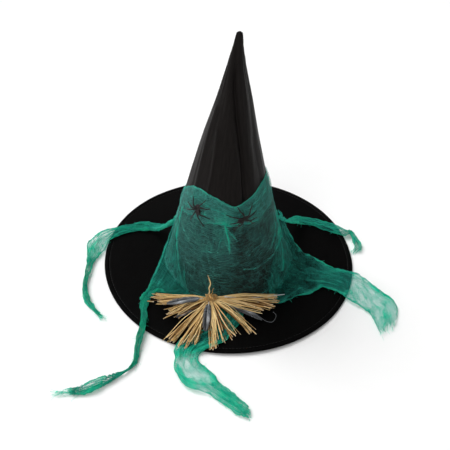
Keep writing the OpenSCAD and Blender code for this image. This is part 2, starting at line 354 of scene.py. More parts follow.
def lining_material():
    g = Nodes("lining")
    fibres = g.cloud(900.0, 4.0, distortion=1.5)
    dots = g.node("TexVoronoi", {"Vector": g.place(), "Scale": 420.0, "Randomness": 0.2})[0]
    tone = g.mix(g.remap(fibres, 0.35, 0.65), (0.020, 0.020, 0.021), (0.042, 0.042, 0.044))
    return g.surface(tone, 0.95, 0.2, [(fibres, 0.6, 0.0003), (g.remap(dots, 0.0, 0.5), 0.5, 0.0003)])


def fabric_material(name, dark, light, pitch, depth, roughness=0.85):
    """A plainly woven or felted cloth whose coordinates come from the object itself."""
    g = Nodes(name)
    x, y, z = g.node("SeparateXYZ", [g.place()])
    across, along = g.add(x, z), g.add(y, z)
    threads = g.add(g.sub(1.0, stripes(g, across, pitch)), g.sub(1.0, stripes(g, along, pitch)))
    odd = g.operate("PINGPONG", g.add(across, along), pitch)
    weave = g.mul(threads, g.operate("DIVIDE", odd, pitch))
    patch = g.cloud(160.0, 4.0)
    tone = g.mix(g.remap(patch), dark, light)
    return g.surface(tone, roughness, 0.25, [(weave, 0.6, depth), (patch, 0.3, depth * 2)], Sheen_Weight=0.1)


GAUZE_DEEP = (0.012, 0.520, 0.370)
GAUZE_GREEN = (0.050, 0.780, 0.520)
GAUZE_DARK = (0.008, 0.330, 0.235)


def gauze_material(name, cover, thin_tone, thick_share, pitch=0.0015):
    """Loosely woven gauze. Its threads are real holes and yarns, and wander; 'dense' closes them up."""
    g = Nodes(name)
    across, along = g.cloth
    flat = g.stretched(1.0, 1.0)
    dense = g.value("dense")
    moved = g.add(g.mul(g.sub(g.cloud(45.0, 2.0, flat), 0.5), 0.0055),
                  g.mul(g.sub(g.cloud(300.0, 2.0, flat), 0.5), 0.0006))
    a = stripes(g, g.add(across, moved), pitch)
    b = stripes(g, g.sub(along, moved), pitch)
    thick_yarns = stripes(g, g.sub(along, moved), 2 * pitch)
    patch = g.cloud(70.0, 4.0, flat, 0.6)
    level_slubs = g.cloud(1.0, 2.0, g.stretched(60.0, 480.0))
    upright_slubs = g.cloud(1.0, 2.0, g.stretched(420.0, 90.0, 5.0))
    uneven = g.add(g.remap(level_slubs, 0.3, 0.7, -0.048, 0.048), g.remap(upright_slubs, 0.3, 0.7, -0.02, 0.02))
    room = g.add(g.add(g.remap(patch, 0.3, 0.7, cover * 0.86, cover * 1.14), uneven), dense)
    solid = g.remap(g.cloud(1400.0, 2.0, flat), 0.35, 0.75, 0.0, 0.06)
    for yarn in (g.sub(g.mul(room, 0.8), a), g.sub(room, b), g.sub(g.mul(room, thick_share), thick_yarns)):
        solid = g.most(solid, g.remap(yarn, -0.1, 0.1))
    solid = g.most(solid, g.remap(g.add(dense, g.mul(uneven, 1.2)), 0.12, 0.85, 0.0, 0.84))
    torn = g.remap(g.sub(g.value("fray"), upright_slubs), -0.05, 0.05)
    solid = g.mul(solid, g.sub(1.0, torn))
    tone = g.mix(g.remap(patch), GAUZE_DEEP, GAUZE_GREEN)
    tone = g.mix(g.remap(dense, 0.0, 0.3, 0.85, 0.0), tone, thin_tone)
    tone = g.mix(g.remap(dense, 0.35, 0.9, 0.0, 0.7), tone, GAUZE_DARK)
    threads = g.sub(1.0, g.operate("MINIMUM", a, b))
    normal = g.bumped([(threads, 0.8, 0.0004), (patch, 0.5, 0.0012)])
    front = g.principled(tone, 0.92, 0.15, normal, Sheen_Weight=0.08)
    back = g.node("BsdfTranslucent", {"Color": tone, **normal})[0]
    body = g.node("MixShader", [0.5, front, back])[0]
    return g.finish(g.node("MixShader", [solid, g.node("BsdfTransparent")[0], body])[0])


def yarn_material():
    g = Nodes("gauze_yarn")
    ply = stripes(g, g.add(*g.cloth), 0.0008)
    fibre = g.cloud(1500.0, 2.0)
    return g.surface(g.mix(g.remap(fibre), GAUZE_DEEP, GAUZE_GREEN), 0.9, 0.15, [(g.add(ply, fibre), 0.5, 0.0001)],
                     Sheen_Weight=0.2)


def straw_material():
    g = Nodes("straw")
    shade = g.value("shade")
    grain = g.cloud(60.0, 4.0, g.stretched(30.0, 1.0, shade))
    long_grain = g.cloud(14.0, 2.0, g.stretched(6.0, 1.0, shade))
    # Each straw's tone: partly random, and for the bow's straws partly painted shade, darker for straws lower in the
    # bundle.
    tone = g.mix(shade, (0.44, 0.160, 0.026), (1.0, 0.73, 0.31))
    tone = g.mix(g.remap(grain, 0.35, 0.75, 0.0, 0.5), tone, (0.33, 0.130, 0.026))
    tone = g.mix(g.remap(long_grain, 0.44, 0.68, 0.0, 0.8), tone, (1.0, 0.80, 0.43))
    # Painted shade: straws low in the bundle, the two sides of each straw and its end at the binding darken towards
    # near black, standing in for the shadow among the straws.
    tone = g.mix(g.remap(g.value("deep"), 0.0, 1.0, 0.0, 0.93), tone, (0.085, 0.030, 0.007))
    tone = g.mix(g.remap(g.value("cut"), 0.2, 1.0, 0.0, 0.7), tone, (0.90, 0.78, 0.58))
    return g.surface(tone, g.remap(grain, 0.3, 0.7, 0.35, 0.55), 0.12, [(grain, 0.7, 0.0004)])


def feather_material():
    g = Nodes("feather")
    bands = g.cloud(120.0)
    tone = g.mix(g.value("shade"), (0.014, 0.017, 0.020), (0.120, 0.135, 0.155))
    tone = g.mix(g.remap(bands, 0.4, 0.62, 0.0, 0.8), tone, (0.018, 0.020, 0.022))
    # Pale quills and bare stems, and a painted highlight: a pale sheen painted on one side of the vanes.
    tone = g.mix(g.value("pale"), tone, (0.62, 0.64, 0.66))
    return g.surface(tone, g.remap(bands, 0.3, 0.7, 0.22, 0.4), 0.9, [(stripes(g, g.cloth[1], 0.0007), 0.5, 0.0002)],
                     Sheen_Weight=0.1)


def floor_material():
    g = Nodes("floor")
    return g.surface(g.mix(g.remap(g.cloud(30.0)), (0.955, 0.953, 0.950), (0.965, 0.964, 0.962)), 0.95, 0.1)


# The crown and the brim are one black satin. The brim's copy is painted about six times darker: painted shade for the
# darker look of the brim under the light.
SATIN = satin_material("satin", (0.0074, 0.0060, 0.0055), 0.43, 0.05)
SHADED_BRIM_SATIN = satin_material("shaded_brim_satin", (0.0012, 0.0011, 0.0011), 0.50, 0.02)
GAUZE = gauze_material("gauze", 0.14, (0.140, 0.500, 0.460), 1.1)
TAIL_GAUZE = gauze_material("tail_gauze", 0.26, (0.045, 0.490, 0.400), 0.7)
YARN = yarn_material()
STRAW = straw_material()
FEATHER = feather_material()
PLASTIC = grained_material("spider_plastic", 900.0, 0.15, (0.004, 0.003, 0.003), (0.012, 0.009, 0.009), (0.34, 0.55),
                           0.35, 0.5, 0.0004)
STEEL = grained_material("steel", 700.0, 0.2, (0.30, 0.30, 0.31), (0.52, 0.52, 0.53), (0.25, 0.45), 0.5, 0.3, 0.0001,
                         Metallic=1.0)
CARRIED = {
    "sweatband": fabric_material("ribbon", (0.006, 0.006, 0.006), (0.016, 0.016, 0.017), 0.0014, 0.0004, 0.55),
    "bow_threads": fabric_material("straw_thread", (0.24, 0.14, 0.05), (0.50, 0.33, 0.15), 0.0004, 0.0001, 0.6),
}


# ---------------- the crown
def crown_r(z):
    return table(CROWN_TABLE, z)


# Creases in the crown: the ridge's rise (a valley's is negative), half width, and its points' azimuths and heights
CROWN_CREASES = [
    (-4.6, 3.4, -40, 396, -17, 378, -4, 326, 7, 296, 19, 256, 25, 224, 26, 172, 24, 120),
    (1.6, 7.0, -18, 396, 8, 378, 20, 326, 29, 296, 37, 256, 40, 224, 41, 172, 40, 120),
    (1.1, 8.0, -62, 396, -44, 378, -30, 326, -14, 296, 0, 256, 6, 224, 8, 172, 6, 120),
    (1.4, 3.0, -34, 262, -31, 232, -29, 205, -30, 180, -30, 140), (1.0, 3.5, -62, 290, -60, 240, -57, 182, -56, 120),
    (-1.2, 6.0, 70, 380, 66, 300, 58, 240, 60, 180, 62, 60), (1.2, 6.0, 120, 360, 128, 280, 122, 200, 130, 90),
    (0.8, 2.2, 180, 395, 180, 300, 180, 200, 180, 16), (-1.3, 6.0, -120, 350, -126, 260, -118, 170, -124, 70),
    (-0.7, 2.5, -20, 395, 30, 386, 80, 380), (0.6, 2.0, -70, 391, -20, 384, 40, 388)
]


def off_line(x, y, dx, dy):
    """Distance from (x, y) to the line from (0, 0) to (dx, dy)."""
    t = np.clip((x * dx + y * dy) / np.maximum(dx * dx + dy * dy, 1e-6), 0, 1)
    return np.hypot(x - t * dx, y - t * dy)


def turned(az):
    """The same azimuth between -180 and 180."""
    return (np.asarray(az, float) + 180) % 360 - 180


def relief(az, z, lines):
    """Sum of the ridges and valleys in lines at azimuth az and height z, measured over the crown."""
    total = np.zeros(np.broadcast(az, z).shape)
    for height, half, *points in lines:
        points = np.reshape(points, (-1, 2)).astype(float)
        if np.ptp(points[:, 1]) > np.ptp(points[:, 0]):
            points = points[np.argsort(points[:, 1])]
        nearest = np.full(total.shape, 1e9)
        for (a0, z0), (a1, z1) in zip(points[:-1], points[1:]):
            r = np.maximum(crown_r(z), 3.0) * math.pi / 180
            nearest = np.minimum(nearest, off_line(turned(az - a0) * r, z - z0, (a1 - a0) * r, z1 - z0))
        total = total + height * bell(nearest, half)
    return total


def crown_soft(az, z):
    """How far the cloth of the crown stands off its plain cone."""
    a = np.radians(az)
    wide = 1.6 * fractal(polar(a, 2.2, z / 120.0), 3) * smooth(0, 40, z) * smooth(400, 330, z)
    fine = 0.45 * fractal(polar(a, 9.0, z / 90.0), 5) * smooth(4, 30, z)
    room = np.clip(crown_r(z) / 14, 0.12, 1)
    return (wide + fine + relief(az, z, CROWN_CREASES)) * room * smooth(3, 26, z)


def on_crown(az, z, lift=0.0, shaped=True):
    """Points on the crown at azimuth az and height z, moved out by lift."""
    az, z, lift = np.broadcast_arrays(np.asarray(az, float), np.asarray(z, float), np.asarray(lift, float))
    points = polar(np.radians(az), crown_r(z) + lift + (crown_soft(az, z) if shaped else 0), z)
    points[..., 0] += table(AXIS_TABLE, z)
    return points


def crown_sheet(name, material, slot, low, high, offset, replaces):
    z = np.concatenate([np.linspace(low, min(high, 392), 250), np.linspace(393, high, 8) if high > 392 else []])
    az = np.linspace(-180, 180, 288, endpoint=False)
    lift = offset * np.minimum(1, np.maximum(crown_r(z), 0.01) / 4)
    return grid_piece(name, material, slot, replaces, on_crown(az, z[:, None], lift[:, None]),
                      stack(np.radians(az) * 60.0, z[:, None] * 1.027), close=True)


CROWN_LOW, CROWN_TOP, LINING_TOP = BRIM_T + 0.2, 399.9, 349.0
crown = crown_sheet("crown_satin", SATIN, "satin", CROWN_LOW, CROWN_TOP, 0.0, ["crown_shell"])
lining = crown_sheet("crown_lining", lining_material(), "lining", CROWN_LOW, LINING_TOP, -0.9, ["crown_interlining"])

TAPE_HALF = 7.5
tape_z = np.linspace(14, 200, 90)[:, None]
tape_x = np.linspace(-1, 1, 7)
tape_points = on_crown(180 + tape_x * np.degrees(TAPE_HALF / crown_r(tape_z)), tape_z, -1.7 - 0.25 * np.abs(tape_x))
tape_cloth = fabric_material("tape", (0.012, 0.012, 0.012), (0.03, 0.03, 0.03), 0.0012, 0.0003)
tape = grid_piece("crown_tape", tape_cloth, "tape", ["crown_seam_tape"], tape_points,
                  stack(tape_x * TAPE_HALF, tape_z))


# ---------------- the brim
CROWN_FOOT_R = 92.6
ROLL_R = 188.6


def brim_lift(x, y):
    """Slow waves in the soft brim, which still rests on the floor."""
    a, r = np.arctan2(x, -y), np.hypot(x, y)
    return smooth(100, BRIM_R, r) * (1.5 + 1.2 * np.sin(3 * a + 0.7) + 0.35 * fractal(stack(x / 60, y / 60, 0), 8))


def on_brim(a, r, height):
    """Points at angle a and radius r, at a height in the brim, which its waves add to."""
    points = polar(a, r, height)
    points[..., 2] += brim_lift(points[..., 0], points[..., 1])
    return points


def brim_cover(name, top, replaces):
    """One cover of the brim, from the head opening to the hem's rolled edge."""
    r = np.concatenate([np.linspace(CROWN_FOOT_R if top else HEAD_R, 176, 44), np.linspace(177, ROLL_R, 24)])
    az = full_turn(480)
    r, az = np.meshgrid(r, az, indexing="ij")
    x, y = r * np.sin(az), -r * np.cos(az)
    side, level = (1, BRIM_T - 0.25) if top else (-1, 0.25)
    pull = bell(r - HEM_R, 1.1)
    pucker = 0.16 * np.cos(az * 120) * bell(r - HEM_R, 4.0)
    hem = 0.30 * smooth(HEM_R, HEM_R + 2.5, r)
    wrinkles = 0.22 * fractal(stack(x / 26, -y / 26, 0), 21)
    rays = 0.12 * fractal(stack(np.sin(az) * 22, np.cos(az) * 22, r / 60), 22)
    z = level + side * (hem - 0.35 * pull + pucker) + (wrinkles + rays) * smooth(95, 125, r)
    lift = brim_lift(x, y)
    rows = [stack(x, y, np.maximum(z + lift, 0.05))]
    for t in np.linspace(0.12, 0.5, 6) * math.pi:
        height = BRIM_T / 2 + side * (BRIM_T / 2 + 0.05) * np.cos(t) + lift[-1]
        rows.append(polar(az[-1], ROLL_R + 1.4 * np.sin(t), np.maximum(height, 0.05))[None])
    points = np.concatenate(rows)
    return grid_piece(name, SHADED_BRIM_SATIN, "satin", replaces, points, points[..., :2], close=True, flip=not top)


for cover_name, is_top in (("brim_top", True), ("brim_under", False)):
    cover = brim_cover(cover_name + "_satin", is_top, [cover_name + "_cover"])

around = np.linspace(0, 2 * math.pi, 361)
section = [(91.2, 0.65), (90.4, 1.4), (91.2, 2.15), (120, 2.15), (150, 2.15), (180.6, 2.15), (181.4, 1.4),
           (180.6, 0.65), (150, 0.65), (120, 0.65)]
r, z = (np.array(column)[:, None] for column in zip(*section))
points = on_brim(around[:-1], r, z)
points[..., 2] += 0.05 * noise(stack(points[..., 0] / 3, points[..., 1] / 3, z), 31)
felt = fabric_material("felt", (0.010, 0.010, 0.011), (0.030, 0.030, 0.031), 0.0011, 0.0004, 0.97)
grid_piece("brim_felt", felt, "felt", ["brim_stiffener"], np.concatenate([points, points[:1]]), None, close=True,
           flip=True)

hoop = on_brim(around, BRIM_R - 2.6, BRIM_T / 2)
crimp = 1.9 - 0.25 * np.abs(np.sin(np.linspace(0, 3 * math.pi, 13)))
for name, node, *facts in (("brim_wire_hoop", "brim_wire", hoop, 1.4, 1.4, 10),
                           ("brim_wire_crimp", "brim_wire_sleeve", hoop[174:187], crimp, 1.8, 12)):
    mesh = Mesh()
    tube(mesh, *facts)
    mesh.build(name, STEEL, [node])

STITCHES = 240
mesh = Mesh()
reach = np.linspace(-0.011, 0.011, 7) * 0.72
arch = 0.22 * (1 - (reach / reach[0]) ** 2)
for k in range(STITCHES):
    for height, sunk in ((BRIM_T + 0.16 + arch, 0.12), (0.08 - arch, 0)):
        path = on_brim(math.radians(k * 360 / STITCHES) + reach, HEM_R, height)
        path[:, 2] = np.maximum(path[:, 2], 0.2) - sunk
        tube(mesh, path, 0.42, 0.34, 6)
mesh.build("hem_thread", fabric_material("thread", (0.004, 0.004, 0.004), (0.02, 0.02, 0.02), 0.0004, 0.0001, 0.7),
           ["hem_stitches"])


# ---------------- the gauze wrap and its collar
WRAP_TOP = [(-180, 146), (-150, 136), (-125, 128), (-105, 129), (-92, 140), (-78, 155), (-61, 168), (-44, 173),
            (-26, 171), (-11, 167), (3, 161), (12, 158), (21, 160), (33, 166), (47, 172), (61, 177), (81, 178),
            (105, 173), (130, 166), (155, 156), (180, 146)]
COLLAR_LOW = [(-180, 120), (-120, 102), (-92, 112), (-74, 119), (-57, 125), (-39, 128), (-21, 128), (-11, 131),
              (-2, 134), (8, 132), (24, 127), (45, 129), (70, 136), (100, 138), (140, 130), (180, 124)]
WRAP_LOW = 8.0
# Folds in the wrap: the fold's rise, half width, and its points' azimuths and heights
WRAP_FOLDS = [
    (3.2, 2.4, 82, 74, 65, 65, 54, 60, 40, 57, 32, 55, 18, 59), (3.4, 2.0, 85, 110, 82, 91, 76, 69, 73, 48, 62, 24),
    (2.0, 1.8, 74, 118, 70, 96, 62, 80, 52, 72), (2.4, 1.6, 78, 120, 78, 90, 70, 60, 64, 30),
    (2.3, 2.6, -2, 132, 1, 118, 3, 107, 4, 88), (1.8, 1.6, -2, 130, 8, 116, 13, 104),
    (3.2, 2.0, -72, 124, -71, 101, -70, 85, -58, 51, -48, 16), (2.2, 1.8, -76, 112, -82, 92, -88, 78),
    (1.3, 1.2, -66, 104, -52, 92, -29, 82, -21, 85, -12, 86, -1, 89), (1.2, 1.3, -50, 60, -38, 50, -20, 46, -6, 50),
    (1.0, 1.2, -44, 34, -30, 36, -12, 30, 4, 34), (1.5, 1.3, 20, 50, 33, 46, 37, 36, 44, 22),
    (1.3, 1.3, 4, 66, 18, 74, 30, 84, 44, 90), (1.0, 1.3, -20, 112, -22, 90, -18, 66),
    (1.0, 1.3, 26, 120, 28, 100, 22, 82), (1.7, 1.5, -76, 146, -44, 160, -12, 153, 8, 146),
    (1.6, 1.4, -70, 134, -45, 143, -18, 142, 0, 136), (1.6, 1.5, 14, 147, 45, 160, 78, 166),
    (1.5, 1.3, 6, 137, 32, 145, 60, 155, 88, 158), (2.4, 2.0, 110, 150, 120, 110, 112, 60, 120, 20),
    (1.8, 2.0, 150, 160, 146, 110, 158, 60, 152, 16), (2.2, 2.0, -110, 140, -118, 96, -108, 60, -116, 20),
    (1.8, 1.8, -150, 150, -156, 100, -146, 50, -150, 16), (1.6, 1.6, 100, 90, 130, 78, 160, 84, 178, 80),
    (1.6, 1.6, -178, 66, -150, 58, -125, 70, -100, 82)
]
FOLD_FINE = 0.5
PINCH_AZ, PINCH_Z = -2.0, 131.0
# Thin places where the black satin shows through: azimuth, height, radius and how much thinner
THIN_PLACES = [(-9, 129, 3.0, 0.16), (8, 125, 5.0, 0.16), (22, 106, 16.0, 0.05), (-18, 112, 9.0, 0.03),
               (4, 40, 22.0, 0.03), (52, 96, 9.0, 0.03)]
# Fans of small folds that run down from one point: the point, and the first and last end
FANS = [((86, 126), (84, 24), (44, 20), 9), ((84, 112), (62, 64), (26, 76), 5), ((-74, 124), (-92, 20), (-54, 14), 7),
        ((-2, 128), (-16, 84), (22, 92), 5), ((170, 150), (130, 30), (178, 20), 5),
        ((-140, 128), (-170, 20), (-104, 30), 6)]


def fan_folds():
    """Small folds of the fans, as rows of the same kind as the wrap's folds."""
    rng = np.random.default_rng(15)
    folds = []
    for start, first, last, count in FANS:
        start, first, last = (np.array(point, float) for point in (start, first, last))
        for k in range(count):
            end = first + (last - first) * (k + rng.uniform(-0.3, 0.3)) / (count - 1)
            middle = (start + end) / 2 + rng.normal(0, 3.0, 2)
            top = start + (middle - start) * 2 * rng.uniform(0.05, 0.4)
            folds.append((rng.uniform(0.7, 1.5), rng.uniform(1.4, 2.2), *top, *middle, *end))
    return folds


def crumple(az, z, seed):
    """Height of the fine lines in crumpled gauze, from 0 to 1: upright ones, level ones and slanting ones."""
    a = np.radians(az)
    upright = creases(polar(a, 8.0, z / 45.0), seed, 16.0)
    level = creases(polar(a, 3.0, z / 10.0), seed + 3, 16.0)
    slanting = creases(polar(a, 5.0, z / 18.0) + stack(z / 24.0, 0, 0), seed + 6, 18.0)
    return np.maximum(np.maximum(0.8 * upright, 0.7 * level), slanting)


def wrap_sheet(name, low_table, rows, lift, bulge, seed, replaces, offset=0.0, pinch=0.0, body=0.0, creased=0.09,
               rim=0.34):
    """A turn of gauze round the crown, whose ends overlap at the back."""
    az = np.linspace(-187, 183, 560)
    t = column(rows)
    high = table(WRAP_TOP, turned(az)) + 0.5 * noise(stack(az / 5.0, 0, seed), seed) + offset
    low = table(low_table, turned(az)) + 2.2 * noise(stack(az / 7.0, 0, 0), seed + 1)
    z = high + (low - high) * t
    azimuth = np.broadcast_to(az, z.shape)
    gather = bell(azimuth - PINCH_AZ, 13.0) * pinch * bell(z - PINCH_Z, 20.0)
    shifted = azimuth + (PINCH_AZ - azimuth) * 0.62 * gather
    z = z + (PINCH_Z - z) * 0.3 * gather
    folds = relief(shifted, z, [(rise, FOLD_FINE * half, *line) for rise, half, *line in WRAP_FOLDS + fan_folds()])
    folds = folds * (0.75 + 0.6 * fractal(stack(azimuth / 7.0, z / 9.0, 0), seed + 7))
    lines = crumple(azimuth, z, seed)
    swell = bulge * np.sin(math.pi * np.clip(t, 0, 1)) ** 0.8
    pleats = 1.5 * gather * np.sin(np.radians(azimuth - PINCH_AZ) * 34)
    height = lift + swell + folds + 0.5 * lines + smooth(172, 180, azimuth) + 3.2 * gather + pleats
    height = height + np.maximum(crown_soft(azimuth, z), -0.5)
    height = height * np.where(t < 0.04, 0.5 + 12.5 * t, 1) + 5.0 * smooth(15, 6, z)
    points = on_crown(shifted, z, height, shaped=False)
    thin = 0.06 * smooth(2, 14, azimuth) * smooth(72, 48, azimuth) * smooth(128, 118, z) + 0.05 * smooth(95, 45, z)
    for place_az, place_z, radius, less in THIN_PLACES:
        away = np.hypot((azimuth - place_az) * math.pi / 180 * crown_r(z), z - place_z)
        thin = thin + less * (body == 0) * bell(away, radius)
    veil = 0.025 * fractal(stack(azimuth / 16.0, z / 22.0, 0), seed + 9)
    dense = (0.13 * np.clip(folds - 0.2, 0, 3) + creased * lines + veil + 0.25 * gather + body - thin
             + rim * np.exp(-t * (high - low) / 1.5) + 0.26 * np.exp(-(1 - t) * (high - low) / 1.6))
    fray = 0.55 * smooth(0.965, 1.0, t) + 0 * z
    uv = stack(np.radians(azimuth) * 92.0, (high - low).max() * (1 - t) * 1.03)
    return grid_piece(name, GAUZE, "gauze", replaces, points, uv, dense=dense, fray=fray)


wrap = wrap_sheet("gauze_wrap_sheet", [(-180, WRAP_LOW), (180, WRAP_LOW)], 130, 1.0, 0.6, 41, ["gauze_wrap"],
                  pinch=0.35)
collar = wrap_sheet("gauze_collar_sheet", COLLAR_LOW, 52, 1.5, 1.5, 57, ["gauze_collar"], offset=1.2, pinch=1.0,
                    body=-0.035, creased=0.20, rim=0.20)


# ---------------- the torn tails
# Each row is one station: a point on the left edge and a point on the right edge
WEB_RIGHT = [
    (64, 2, 114, 50, -80, 14), (76, 8, 84, 62, -93, 6), (92, 10, 44, 76, -93, 4.6), (113, 14, 8, 100, -79, 4.6),
    (130, 5, 5, 122, -72, 4.6), (146, -7, 5, 139, -59, 4.6), (160, -16, 5, 153, -61, 4.6),
    (180, -21, 5, 170, -74, 4.6), (195, -26, 3.4, 184, -86, 3.4), (206, -34, 2, 196, -94, 2),
    (219, -50, 2, 205, -103, 2), (232, -65, 2, 210, -112, 2), (244, -76, 2, 213, -122, 2),
    (249, -91, 2, 215, -131, 2), (247, -109, 2, 218, -139, 2), (240, -126, 2, 222, -145, 2)]
WEB_LEFT = [
    (-79, 2, 92, -66, -56, 46), (-90, -22, 66, -62, -72, 20), (-104, -47, 36, -58, -85, 5.5),
    (-118, -73, 8, -84, -81, 5), (-123, -82, 5, -104, -78, 5), (-127, -92, 5, -114, -94, 5),
    (-126, -112, 5, -117, -112, 5), (-124, -136, 5, -115, -136, 5), (-126, -162, 4.6, -118, -161, 4.6),
    (-128, -185, 3.4, -120, -184, 3.4), (-128, -206, 2, -121, -205, 2), (-134, -223, 2, -127, -218, 2),
    (-144, -235, 2, -138, -227, 2), (-156, -247, 2, -152, -234, 2), (-170, -258, 2, -167, -240, 2),
    (-184, -267, 2, -182, -246, 2), (-198, -269, 2, -196, -256, 2), (-212, -268, 2, -210, -262, 2),
    (-221, -268, 2, -220, -265, 2)]
FRONT_TAIL = [
    (-14, -100, 6, 26, -104, 6), (-16, -128, 5, 20, -130, 5), (-34, -152, 5, 6, -156, 5), (-62, -166, 5, -4, -172, 5),
    (-72, -182, 3.6, -30, -186, 3.8), (-72, -200, 2, -38, -194, 2), (-70, -222, 2, -38, -204, 2),
    (-62, -240, 2, -30, -213, 2), (-48, -252, 2, -21, -222, 2), (-33, -258, 2, -13, -232, 2),
    (-21, -262, 2, -7, -243, 2), (-8, -274, 2, 5, -254, 2), (6, -284, 2, 17, -266, 2), (17, -292, 2, 28, -277, 2),
    (26, -296, 2, 33, -286, 2), (31, -296, 2, 34, -292, 2)]
BACK_LEFT = [
    (-76, 7, 77, 17), (-91, 27, 44, 15), (-104, 47, 19, 17), (-117, 60, 8, 19), (-134, 64, 5, 18), (-158, 59, 5, 18),
    (-178, 50, 5.2, 21), (-196, 37, 5, 26), (-206, 19, 2.4, 32), (-209, 0, 2, 21), (-211, -18, 2, 11),
    (-212, -36, 2, 8), (-213, -55, 2, 7), (-212, -74, 2, 8), (-205, -97, 2, 8), (-195, -112, 2, 6),
    (-187, -122, 2, 5), (-180, -130, 2, 3)]
RIGHT_BACK = [
    (73, 11, 77, 17), (90, 43, 44, 15), (102, 71, 19, 17), (115, 86, 8, 18), (134, 87, 5, 18), (152, 79, 5, 19),
    (170, 70, 5, 19), (184, 64, 4.5, 13), (193, 66, 3.4, 8), (198, 54, 2.4, 9), (202, 42, 2, 10), (201, 32, 2, 10),
    (197, 25, 2, 8)]
# Folds and thin places in the tails: (x, y) from, (x, y) to, half width, and how much denser they are
TAIL_LINES = {
    "tail_front_sheet": [
        (-70, -194, -43, -184, 5, 0.45), (-43, -184, -6, -177, 6, 0.50), (-73, -188, -73, -206, 3, 0.30),
        (-73, -206, -64, -232, 4, 0.28), (-64, -232, -40, -254, 5, 0.24), (-41, -197, -37, -210, 2.5, 0.25),
        (-37, -210, -16, -234, 3, 0.28), (-16, -234, 8, -260, 4, 0.22), (-58, -204, -52, -228, 9, -0.12),
        (-34, -232, -24, -236, 6, -0.10), (-66, -214, -55, -236, 2, 0.26), (-55, -236, -40, -245, 2, 0.26),
        (-40, -245, -18, -246, 2, 0.26), (-18, -246, 18, -272, 2.5, 0.24), (-4, -264, 26, -288, 4, 0.20)],
    "tail_right_front_sheet": [
        (98, -84, 139, -58, 3, 0.30), (117, -45, 142, -46, 2, 0.20), (142, -46, 164, -52, 2, 0.20),
        (139, -58, 171, -71, 4, 0.30), (171, -71, 186, -58, 3, 0.25), (93, 44, 109, 12, 2, 0.20),
        (160, -21, 190, -27, 2, 0.22), (190, -29, 224, -60, 2, 0.26), (224, -60, 245, -78, 2, 0.22),
        (233, -89, 234, -112, 8, 0.08), (234, -112, 226, -132, 8, 0.08), (183, -64, 190, -89, 2.5, 0.20),
        (190, -89, 212, -102, 3, 0.20), (198, -58, 214, -82, 11, -0.07), (80, -90, 110, -60, 2, 0.14)],
    "tail_back_left_sheet": [
        (-178, 34, -200, 2, 7, -0.14), (-204, 30, -218, 6, 2.5, 0.25), (-218, 6, -214, -20, 2.5, 0.25),
        (-176, 40, -196, 20, 2, 0.25), (-211, -28, -211, -38, 1.6, -0.50), (-150, 62, -186, 52, 2, 0.20)],
    "tail_front_left_sheet": [
        (-158, -241, -192, -255, 5.5, -0.24), (-150, -240, -186, -264, 2.5, 0.22), (-186, -264, -212, -265, 2, 0.20),
        (-78, -20, -70, -60, 4, -0.10), (-122, -84, -126, -150, 2.5, 0.22)],
    "tail_right_back_sheet": [
        (110, 88, 170, 74, 2, 0.22), (120, 80, 160, 68, 4, -0.16), (199, 44, 198, 36, 2.2, -0.45)],
}


def near_line(x, y, x0, y0, x1, y1, half):
    """1 on the line from (x0, y0) to (x1, y1), falling to 0 beyond half its width."""
    return bell(off_line(x - x0, y - y0, x1 - x0, y1 - y0), half)


def edges_of(route):
    """Left and right edges of a ribbon from its route of (x, y, z, width) points."""
    p = np.array(route, float)
    along = np.gradient(p[:, :3], axis=0)
    side = unit(np.cross(along, [0, 0, 1.0]))
    left, right = p[:, :3] - side * p[:, 3:] / 2, p[:, :3] + side * p[:, 3:] / 2
    return np.hstack([left, right])


def settle(points, clear, over_wrap=1.0):
    """Moves points out of the crown and up out of the brim or the floor, by clear at least, and over the wrap."""
    x, y, z = points[..., 0], points[..., 1], points[..., 2]
    r = np.maximum(np.hypot(x, y), 1e-6)
    over_brim = smooth(BRIM_R + 3.5, BRIM_R - 1.5, r)
    ground = over_brim * (BRIM_T + 0.5 + brim_lift(x, y)) + clear
    z = np.maximum(z, ground)
    axis = table(AXIS_TABLE, z)
    around = np.maximum(np.hypot(x - axis, y), 1e-6)
    room = crown_r(z) + 2.4 * smooth(180, 165, z) * over_wrap + clear * (0.4 + 0.6 * over_wrap)
    push = np.maximum(room, around) / around
    return stack(axis + (x - axis) * push, y * push, z)


